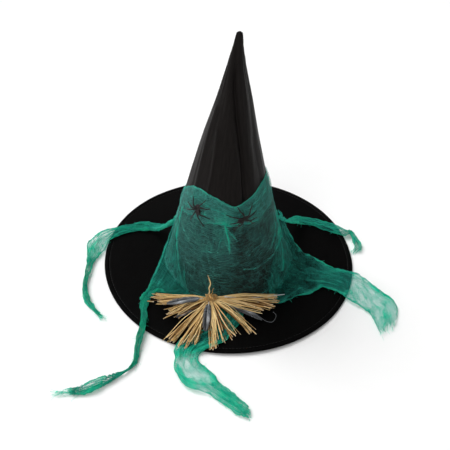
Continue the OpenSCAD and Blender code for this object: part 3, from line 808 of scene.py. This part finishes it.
def torn_strip(name, replaces, rows, flat, pleats, seed, wisp, hem_mm=4.0, cols=84, step=1.5):
    """A torn strip of gauze, flat mm wide, that is gathered into the room between two edges."""
    _, length = spline(rows, 400, halfway)
    n = int(length / step)
    line, length = spline(rows, n, halfway)
    left, right = line[:, None, :3], line[:, None, 3:6]
    s = column(n)
    run = s * length
    w = np.linspace(0, 1, cols)[None, :]
    flow = stack(run / 52.0, 2.2 * w, 0)
    cloth_w = w + 0.045 * fractal(flow, seed) * np.sin(math.pi * w)
    visible = np.linalg.norm(right - left, axis=-1)
    flat = np.maximum(flat, 1.15 * visible)
    hem = hem_mm / flat
    inward = np.clip(1 - cloth_w / hem, 0, 1), np.clip(1 - (1 - cloth_w) / hem, 0, 1)
    u = (np.clip(cloth_w, hem, 1 - hem) - hem) / (1 - 2 * hem) + 0.75 * hem * (inward[0] - inward[1])
    gather = np.clip(flat / np.maximum(visible, 2.0), 1.0, 9.0)
    narrow = smooth(18, 9, visible)
    phase = 4.2 * fractal(stack(run / 30.0, 1.6 * w, 0), seed + 5) + seed + narrow * run / 9.0
    wave = 2 * math.pi * pleats * cloth_w + phase
    second = 2 * math.pi * pleats * 2.6 * cloth_w - 1.7 * phase
    overhang = np.clip(0.45 * (gather - 1.1), 0.08, 1.3)
    u = u + overhang / (2 * math.pi * pleats) * (np.sin(wave) + 0.3 * np.sin(second))
    rise = np.clip(np.sqrt(np.maximum(flat ** 2 - visible ** 2, (0.3 * visible) ** 2)) / (4 * pleats), 0.6, 2.8)
    high_fold = 0.65 + 0.5 * noise(stack(run / 20.0, 5 * w, 0), seed + 9)
    height = rise * (1 + np.cos(wave)) * high_fold + 0.35 * rise * np.cos(second)
    laid = (w - 0.5) * visible
    bend = 0.35 * noise(stack(run / 14.0, laid / 14.0, 0), seed + 3)
    streak = creases(stack(run / 34.0 + bend, laid / 8.0 + 2 * bend, 0), seed + 11, 6.0)
    cross_crease = creases(stack(run / 9.0 + laid / 14.0, laid / 8.0 + bend, 0), seed + 12, 8.0)
    height = height + 1.1 * streak + 0.8 * cross_crease - 0.7 * (inward[0] + inward[1])
    rough_edge = 2.2 * fractal(stack(run / 8.0, np.round(w) * 9, 0), seed + 13) * np.abs(2 * w - 1) ** 4
    cross = unit(right - left)
    along = unit(np.gradient((left + right) / 2, axis=0))
    above = np.cross(cross, along)
    above = unit(above * np.sign(above[..., 2:] + 1e-9))
    end = smooth(1.0 - 2.0 * wisp / length, 1.0, s)
    slip = 9.0 * fractal(stack(9 * w, 0 * s + 2, 0), seed + 15) * end
    points = left + (right - left) * u[..., None] + above * height[..., None]
    points = points + cross * rough_edge[..., None] + along * slip[..., None]
    made = sum(strength * near_line(points[..., 0], points[..., 1], *line_ends)
               for *line_ends, strength in TAIL_LINES[name])
    points = points + above * (2.4 * np.clip(made, 0, 0.5))[..., None]
    points = settle(points, 0.35 + 0.5 * np.maximum(height, 0), smooth(2.0 / length, 22.0 / length, s))
    on_floor = smooth(BRIM_R - 6, BRIM_R + 14, np.hypot(points[..., 0], points[..., 1]))
    steep = np.abs(np.sin(wave)) ** 3 * np.clip(gather - 1, 0, 1.5) * 0.06
    bunch = np.clip(0.045 * (gather - 1.6), 0, 0.20) * (0.4 + 0.6 * on_floor)
    web = smooth(46, 80, visible)
    rim = np.exp(-np.minimum(w, 1 - w) * visible / 2.6)
    cloud = fractal(stack(run / 13.0, laid / 13.0, 0), seed + 21)
    dense = (0.30 * (inward[0] + inward[1]) + 0.16 * rim + steep + bunch + made + (0.12 + 0.08 * on_floor) * streak
             + (0.05 + 0.22 * on_floor) * cross_crease - 0.16 * web + (0.08 + 0.14 * on_floor) * cloud)
    start = smooth(16.0 / length, 0.0, s)
    dense = dense - 0.25 * end * (wisp > 15) - 0.30 * start
    fray = 0.64 * end + 0.55 * start + 0.45 * np.abs(2 * w - 1) ** 12
    piece = grid_piece(name, TAIL_GAUZE, "gauze", replaces, points, stack(w * flat, run),
                       dense=np.clip(dense, -0.3, 1), fray=fray)
    return piece, frayed_yarns(name, points, along[:, 0], cross[:, 0], seed, wisp), length


def halfway(rows):
    return (rows[:, :3] + rows[:, 3:6]) / 2


def frayed_yarns(name, points, along, cross, seed, wisp):
    """Single yarns that have come loose at the end and along the sides of a strip."""
    rng = np.random.default_rng(seed)
    n, cols = points.shape[:2]
    mesh = Mesh()
    for k in range(54):
        at_end = k < 30
        i = n - 2 - int(wisp * rng.random() ** 2) if at_end else int(rng.integers(int(n * 0.25), n - 4))
        j = int(rng.integers(1, cols - 1)) if at_end else (1 if rng.random() < 0.5 else cols - 2)
        if at_end:
            out = along[i] + cross[i] * rng.normal(0, 0.22)
            reach, bend = rng.uniform(0.2, 0.7) * wisp, 0.35
        else:
            out = along[i] * rng.normal(0, 0.9) + cross[i] * (-0.7 if j < cols / 2 else 0.7)
            reach, bend = rng.uniform(1.5, 6), 0.7
        out = unit(out * [1, 1, 0])
        aside = np.cross(out, [0, 0, 1])
        curl = aside * rng.normal(0, bend) * reach
        t = column(12)
        wiggle = aside * 0.6 * np.sin(t * rng.uniform(4, 9) + rng.uniform(0, 6))
        path = points[i, j] + out * reach * t + curl * t ** 2 + wiggle * t
        path[:, 2] -= 2.5 * t[:, 0]
        tube(mesh, settle(path, 0.25), np.linspace(0.36, 0.2, 12), 0.26, 5)
    return mesh.build(name + "_loose_yarns", YARN)


STRIPS = [
    ("tail_back_left", edges_of(BACK_LEFT), 52, 5, 101, 14),
    ("tail_front_left", WEB_LEFT, 58, 5, 203, 22),
    ("tail_front", FRONT_TAIL, 60, 4, 307, 6),
    ("tail_right_front", WEB_RIGHT, 66, 6, 401, 12),
    ("tail_right_back", edges_of(RIGHT_BACK), 42, 4, 503, 6),
]
for name, *facts in STRIPS:
    strip, loose_yarns, strip_length = torn_strip(name + "_sheet", ["gauze_" + name], *facts)
    cut_size(strip, strip_length)


# ---------------- the straw bow
BOW = np.array([-25.0, -99.0, 16.0])
# The tufts of each bundle: where their ends lie, how far they spread there and how many straws they have
BUNDLES = {
    "straw_left_upper": [((-106, -95, 12), 7, 16), ((-98, -104, 11), 9, 13), ((-84, -94, 15), 6, 7)],
    "straw_left_lower": [((-84, -122, 11), 11, 20), ((-92, -133, 10), 3, 3), ((-72, -129, 11), 7, 7)],
    "straw_bottom_left": [((-78, -172, 9), 13, 20), ((-61, -184, 9), 13, 20), ((-46, -175, 9), 12, 14)],
    "straw_bottom_centre": [((-18, -179, 9), 15, 24), ((-4, -172, 11), 5, 6)],
    "straw_bottom_right": [((14, -165, 9), 5, 8)],
    "straw_right_lower": [((34, -151, 10), 8, 13), ((21, -137, 11), 6, 6)],
    "straw_right_upper": [((67, -87, 13), 9, 20), ((65, -102, 12), 13, 20), ((50, -118, 11), 8, 10)],
}


def strand(mesh, path, width, rng, thick=0.5, deep=0.0, steps=22, tone=0.7):
    """One flat, slightly curled straw along path."""
    path, _ = spline(path, steps)
    t = np.linspace(0, 1, steps)
    wide = width * (0.7 + 0.3 * np.sin(math.pi * t ** 0.7)) * (1 - 0.35 * smooth(0.95, 1, t))
    twist = rng.uniform(-0.7, 0.7) + rng.normal(0, 1.5) * t
    kink = rng.uniform(0, 90)
    wander = [size * noise(stack(t * 5, shift, kink), k) for k, size, shift in ((1, 1, 0), (2, 1, 5), (3, 0.6, 9))]
    path = path + rng.uniform(0.6, 1.7) * stack(*wander)
    # Painted shade on low straws, fading out towards the tip, and on every straw where it leaves the binding.
    tube(mesh, path, wide, thick, 6, twist, 0.48, shade=np.clip(tone + rng.uniform(-0.3, 0.4), 0, 1),
         cut=smooth(0.965, 1.0, t), deep=deep * smooth(1.0, 0.55, t) + 0.6 * smooth(0.16, 0.0, t))


def tuft(mesh, end, spread, count, rng):
    """Straws that run from the bow's middle to one spread end in a few clumps. Some curl back or break off short."""
    end = np.array(end, float)
    reach = end - BOW
    side = np.cross([0, 0, 1.0], unit(reach * [1, 1, 0]))
    clumps = max(1, round(spread / 4.2))
    for k in range(count):
        clump = k % clumps
        drift = np.random.default_rng(int(1000 + 37 * end[0] + 11 * end[1]) % 9973 + clump)
        place = ((clump + 0.5) / clumps * 2 - 1) * spread / 2 + drift.normal(0, 0.6)
        bow_out, clump_far = drift.normal(0, 2.2), 1 + drift.normal(0, 0.03)
        layer = rng.uniform(0, 1)
        far = clump_far * (1 + (rng.normal(0, 0.045) if rng.random() < 0.8 else -rng.uniform(0.08, 0.35)))
        start = BOW + side * np.clip(place * 0.3, -3, 3) + [0, 0, 3.0 * (layer - 0.5)]
        tip = BOW + reach * far + side * (place + rng.normal(0, 2.3))
        tip[2] = end[2] - 4.5 + 8.0 * layer
        middle = BOW + (tip - BOW) * 0.55 + side * (bow_out + rng.normal(0, 1.6))
        middle[2] += 4.0 * layer + rng.uniform(-1, 1.4)
        near = BOW + (tip - BOW) * 0.22 + side * 0.4 * bow_out + [0, 0, 0.8 + 1.6 * layer]
        path = [start, near, middle, tip]
        if rng.random() < 0.10:
            path += [tip + unit(reach) * out + side * aside + [0, 0, up]
                     for out, aside, up in ((2.0, 2.4, 1.2), (-8.0, 3.4, 1.6))]
        # Straws lower in the bundle get a darker tone and more painted shade, standing in for the shadow of the straws
        # above.
        strand(mesh, path, 2.6 - 1.5 * layer + rng.uniform(-0.3, 0.4), rng, deep=smooth(0.72, 0.28, layer), tone=layer)
    for _ in range(max(1, count // 9)):
        sideways = side * rng.normal(0, spread * 0.45)
        loose = BOW + reach * rng.uniform(0.45, 0.95) + sideways + [0, 0, rng.uniform(1, 4)]
        strand(mesh, [BOW + reach * 0.1 + [0, 0, 3], BOW + reach * 0.35 + sideways * 0.2 + [0, 0, 5], loose],
               rng.uniform(0.5, 1.1), rng, 0.3)


for seed, (bundle_name, tufts) in enumerate(BUNDLES.items(), 900):
    rng = np.random.default_rng(seed)
    mesh = Mesh()
    for facts in tufts:
        tuft(mesh, *facts, rng)
    mesh.build(bundle_name + "_strands", STRAW, [bundle_name], facets=True)

# The binding: straw wound round the bow's middle, and its knot
rng = np.random.default_rng(77)
mesh = Mesh()
a = np.linspace(0, 2 * math.pi, 26)
for k in range(9):
    x = BOW[0] - 7.5 + 15.0 * (k / 8) + rng.normal(0, 0.4) + 1.2 * a / math.pi
    r = 4.6 + 0.5 * rng.random()
    ring = stack(x, BOW[1] + 1 + r * np.cos(a) * 0.95, BOW[2] + 1.2 + r * np.sin(a) * 0.86)
    tube(mesh, ring, 3.3, 0.7, 6, math.pi / 2, shade=rng.uniform(0.5, 1), cut=0.0, deep=0.0)
a = np.linspace(-0.9, 4.0, 18)
for k in range(3):
    knot = BOW + stack(-2 + 3.6 * k + 3.0 * np.cos(a + k), 0.5 - 4.2 * np.cos(a), 4.2 + 2.2 * np.sin(a))
    # The knot's straws carry a little painted shade.
    tube(mesh, knot, 2.4, 0.8, 6, rng.normal(0, 0.5), shade=rng.uniform(0.5, 1), cut=0.0, deep=0.1)
mesh.build("straw_binding_turns", STRAW, ["straw_binding"], facets=True)

mesh = Mesh()
strand(mesh, [(-27, -98, 22), (-27, -95.5, 31), (-26, -92, 38), (-28, -87, 46), (-31, -85, 52)], 1.8, rng, 0.5)
strand(mesh, [(-24, -98, 22), (-23, -95.5, 27), (-21, -94, 33)], 1.3, rng, 0.5)
mesh.build("straw_tie_end_strand", STRAW, ["straw_tie_end"], facets=True)


# ---------------- feathers
UP = np.array([0, 0, 1.0])


def feather(node, root, turn, length, width, seed, bare=None):
    """A curved feather: a quill, and barbs on both sides that split into tufts. bare is one more stem, left bare."""
    rng = np.random.default_rng(seed)
    c, s = math.cos(math.radians(turn)), math.sin(math.radians(turn))
    out, side = np.array([c, s, 0]), np.array([-s, c, 0])
    t = column(24)
    bend = rng.normal(0, 0.05) * length
    shaft = root + out * length * t + side * bend * t ** 2 + UP * (1.5 * np.sin(math.pi * t) - 3.0 * t ** 2)
    shaft[:, 2] = np.maximum(shaft[:, 2], 4.4)
    mesh = Mesh()
    tube(mesh, shaft, np.linspace(1.3, 0.35, 24), np.linspace(1.1, 0.3, 24), 6, shade=0.8, pale=0.55)
    count = int(length * 1.5)
    for k in range(count):
        place = 0.10 + 0.90 * k / count
        at = np.array([np.interp(place * 23, np.arange(24), shaft[:, i]) for i in range(3)])
        parting = 0.12 * noise(np.array([place * 14, 0.3, seed]), seed)
        for hand in (-1, 1):
            reach = width / 2 * math.sin(math.pi * min(place * 0.88 + 0.10, 1)) ** 0.6 * rng.uniform(0.82, 1.12)
            b = column(6)
            sweep = 0.75 + parting + 0.25 * place
            path = at + side * hand * reach * b * (1 - 0.15 * b) + out * reach * sweep * b ** 1.3
            path = path + UP * (1.4 * np.sin(math.pi * b * 0.8) - 0.6 * b + rng.normal(0, 0.12) * b)
            path[:, 2] = np.maximum(path[:, 2], 4.0)
            # Painted highlight: a pale sheen on one side of the vane, strongest about 60% along the feather.
            painted_highlight = math.exp(-((place - 0.60) / 0.12) ** 2) * (0.5 + 0.5 * rng.random()) * (hand == 1)
            tube(mesh, path, np.linspace(1.25, 0.5, 6), 0.16, 4, 0.25 * hand, shade=rng.uniform(0.05, 0.8),
                 pale=painted_highlight * (0.9 - 0.5 * b[:, 0]))
    if bare:
        rows, steps, wide, high, sides, pale = bare
        tube(mesh, spline(rows, steps)[0], np.linspace(*wide, steps), np.linspace(*high, steps), sides, shade=0.9,
             pale=pale)
    mesh.build(node + "_barbs", FEATHER, [node])


QUILL = ([(-5, -97, 19.5), (30, -93, 15.0), (62, -88, 15.0), (83, -84, 15.0)], 20, (2.0, 1.2), (1.8, 1.0), 8, 0.95)
CURL = ([(48, -126, 9), (55, -131, 8), (63, -133, 7.5), (68, -128, 8), (70, -120, 8.5), (66, -114, 9)], 30, (0.5, 0.5),
        (0.4, 0.4), 5, 0.15)
feather("feather_left", (-36, -102, 20.0), 192.5, 52, 14, 61, QUILL)
feather("feather_left_small", (-46, -116, 10), 208, 30, 8, 62)
feather("feather_centre", (-27, -107, 18.5), 264.5, 54, 13, 63)
feather("feather_right", (0, -105, 10.5), 335.5, 55, 12, 64, CURL)


# ---------------- spiders
SPIDER_LIFT = 9.0
HAIR_THICK = (0.32, 0.2, 0.08)


def spider(node, az, z, turn, tips, seed):
    """A moulded plastic spider with two body lobes, eight jointed legs and bristles."""
    rng = np.random.default_rng(seed)
    a, slope = math.radians(az), math.atan2(78, 335)
    right = np.array([math.cos(a), math.sin(a), 0])
    outward = polar(a, math.cos(slope), math.sin(slope))
    up = np.cross(outward, right)
    centre = on_crown(az, z, 0.0) + outward * SPIDER_LIFT
    c, s = math.cos(math.radians(turn)), math.sin(math.radians(turn))
    body_right, body_up = right * c + up * s, up * c - right * s

    def at(u, v, w):
        return centre + right * u + up * v + outward * w

    mesh = Mesh()
    lat, lon = np.linspace(0, math.pi, 22)[:, None], full_turn(28)
    unit_ball = stack(np.sin(lat) * np.cos(lon), np.cos(lat), np.sin(lat) * np.sin(lon))
    for shift, size, seed_add in ((-4.6, (4.2, 5.2, 3.1), 0), (3.4, (3.0, 3.4, 2.3), 7)):
        bumps = 1 + 0.06 * fractal(unit_ball * 4, seed + seed_add)
        ball = unit_ball * np.array(size) * bumps[..., None]
        points = (centre + body_right * ball[..., :1] + body_up * (ball[..., 1:2] + shift)
                  + outward * ball[..., 2:])
        mesh.add(points, grid(22, 28, close=True), ball[..., :2])
    for tip in np.array(tips, float):
        reach = np.linalg.norm(tip)
        head = tip / reach
        knee = tip * 0.38 + np.array([-head[1], head[0]]) * rng.normal(0, 1.2)
        path, _ = spline([at(*(head * 2.0), 0.6), at(*(tip * 0.18), 2.2), at(*knee, 4.4 - 0.02 * reach),
                          at(*(tip * 0.72), 1.6), at(*tip, -1.8)], 22)
        t = np.linspace(0, 1, 22)
        thick = (2.3 - 1.1 * t) * (1 + 0.20 * bell(t - 0.42, 0.05) + 0.16 * bell(t - 0.72, 0.05))
        tube(mesh, path, thick, thick, 7)
        for root in path[3:21]:
            hair = unit(rng.normal(0, 1, 3) + outward * 0.4) * rng.uniform(0.9, 1.9)
            tube(mesh, [root, root + hair * 0.6, root + hair], HAIR_THICK, HAIR_THICK, 4)
    for _ in range(14):
        angle, reach = rng.uniform(0, 2 * math.pi), rng.uniform(8, 15)
        u, v = math.cos(angle), math.sin(angle)
        path, _ = spline([at(r * u, r * v, w) for r, w in ((2, 0.5), (reach * 0.5, 2.5), (reach, 0.5))], 8)
        thick = np.linspace(0.7, 0.3, 8)
        tube(mesh, path, thick, thick, 5)
    mesh.build(node + "_moulding", PLASTIC, [node])


spider("spider_left", -37, 148, 20,
       [(-19, 2), (-12, 15), (-20, -10), (-10, -23), (20, 9), (22, -7), (15, -23), (10, 18)], 71)
spider("spider_right", 20, 141, -70,
       [(14, 21), (20, -2), (16, -11), (-26, 12), (-20, -4), (-16, -14), (-8, 20), (19, 9)], 72)


# ---------------- CAD parts that stay
for node_name, material in CARRIED.items():
    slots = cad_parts[node_name].data.materials
    slots.clear()
    slots.append(material)


# ---------------- floor, light and camera
bpy.ops.mesh.primitive_plane_add(size=30, location=(0, 0, -0.0002))
floor = bpy.context.object
floor.name = "floor"
floor.data.materials.append(floor_material())


def light(name, kind, **settings):
    data = bpy.data.lights.new(name, kind)
    for key, value in settings.items():
        setattr(data, key, value)
    return add_object(name, data)


sun = light("key", "SUN", energy=2.45, angle=math.radians(44))
sun.rotation_euler = Vector((-0.75, 0.65, 1.15)).to_track_quat("Z", "Y").to_euler()
fill = light("fill", "AREA", shape="DISK", size=1.6, energy=14)
fill.location = (-0.9, -1.7, 1.9)
fill.rotation_euler = (Vector((0, 0, 0.1)) - fill.location).to_track_quat("-Z", "Y").to_euler()

bpy.context.scene.world = bpy.data.worlds.new("studio")
sky = Nodes(bpy.context.scene.world)
direction = sky.node("SeparateXYZ", [sky.node("TexCoord")["Generated"]])
fades = []
# The light fades upwards (output 2) and to the right (output 0)
for axis, near, far, dim in ((2, 0.02, 0.6, 0.42), (0, 0.1, 0.7, 0.45)):
    fade = sky.node("ValToRGB", [direction[axis]])[0]
    for stop, position, tone in zip(fade.node.color_ramp.elements, (near, far), (1.0, dim)):
        stop.position, stop.color = position, (tone, tone, tone, 1)
    fades.append(fade)
product = sky.node("VectorMath", fades, operation="MULTIPLY")[0]
sky.node("OutputWorld", [sky.node("Background", [product, 0.98])[0]])

lens = bpy.data.cameras.new("camera")
lens.angle = math.radians(27.1)
camera = add_object("camera", lens)
camera.location = (-0.0074, -1.0358, 1.0017)
aim = (Vector((-0.0074, 0.0807, 0.0)) - camera.location).to_track_quat("-Z", "Y")
camera.rotation_mode = "QUATERNION"
camera.rotation_quaternion = aim @ Quaternion((0, 0, 1), math.radians(1.74))
bpy.context.scene.camera = camera

bpy.context.scene.view_settings.view_transform = "Standard"
bpy.context.scene.cycles.transparent_max_bounces = 48

bpy.context.view_layer.update()
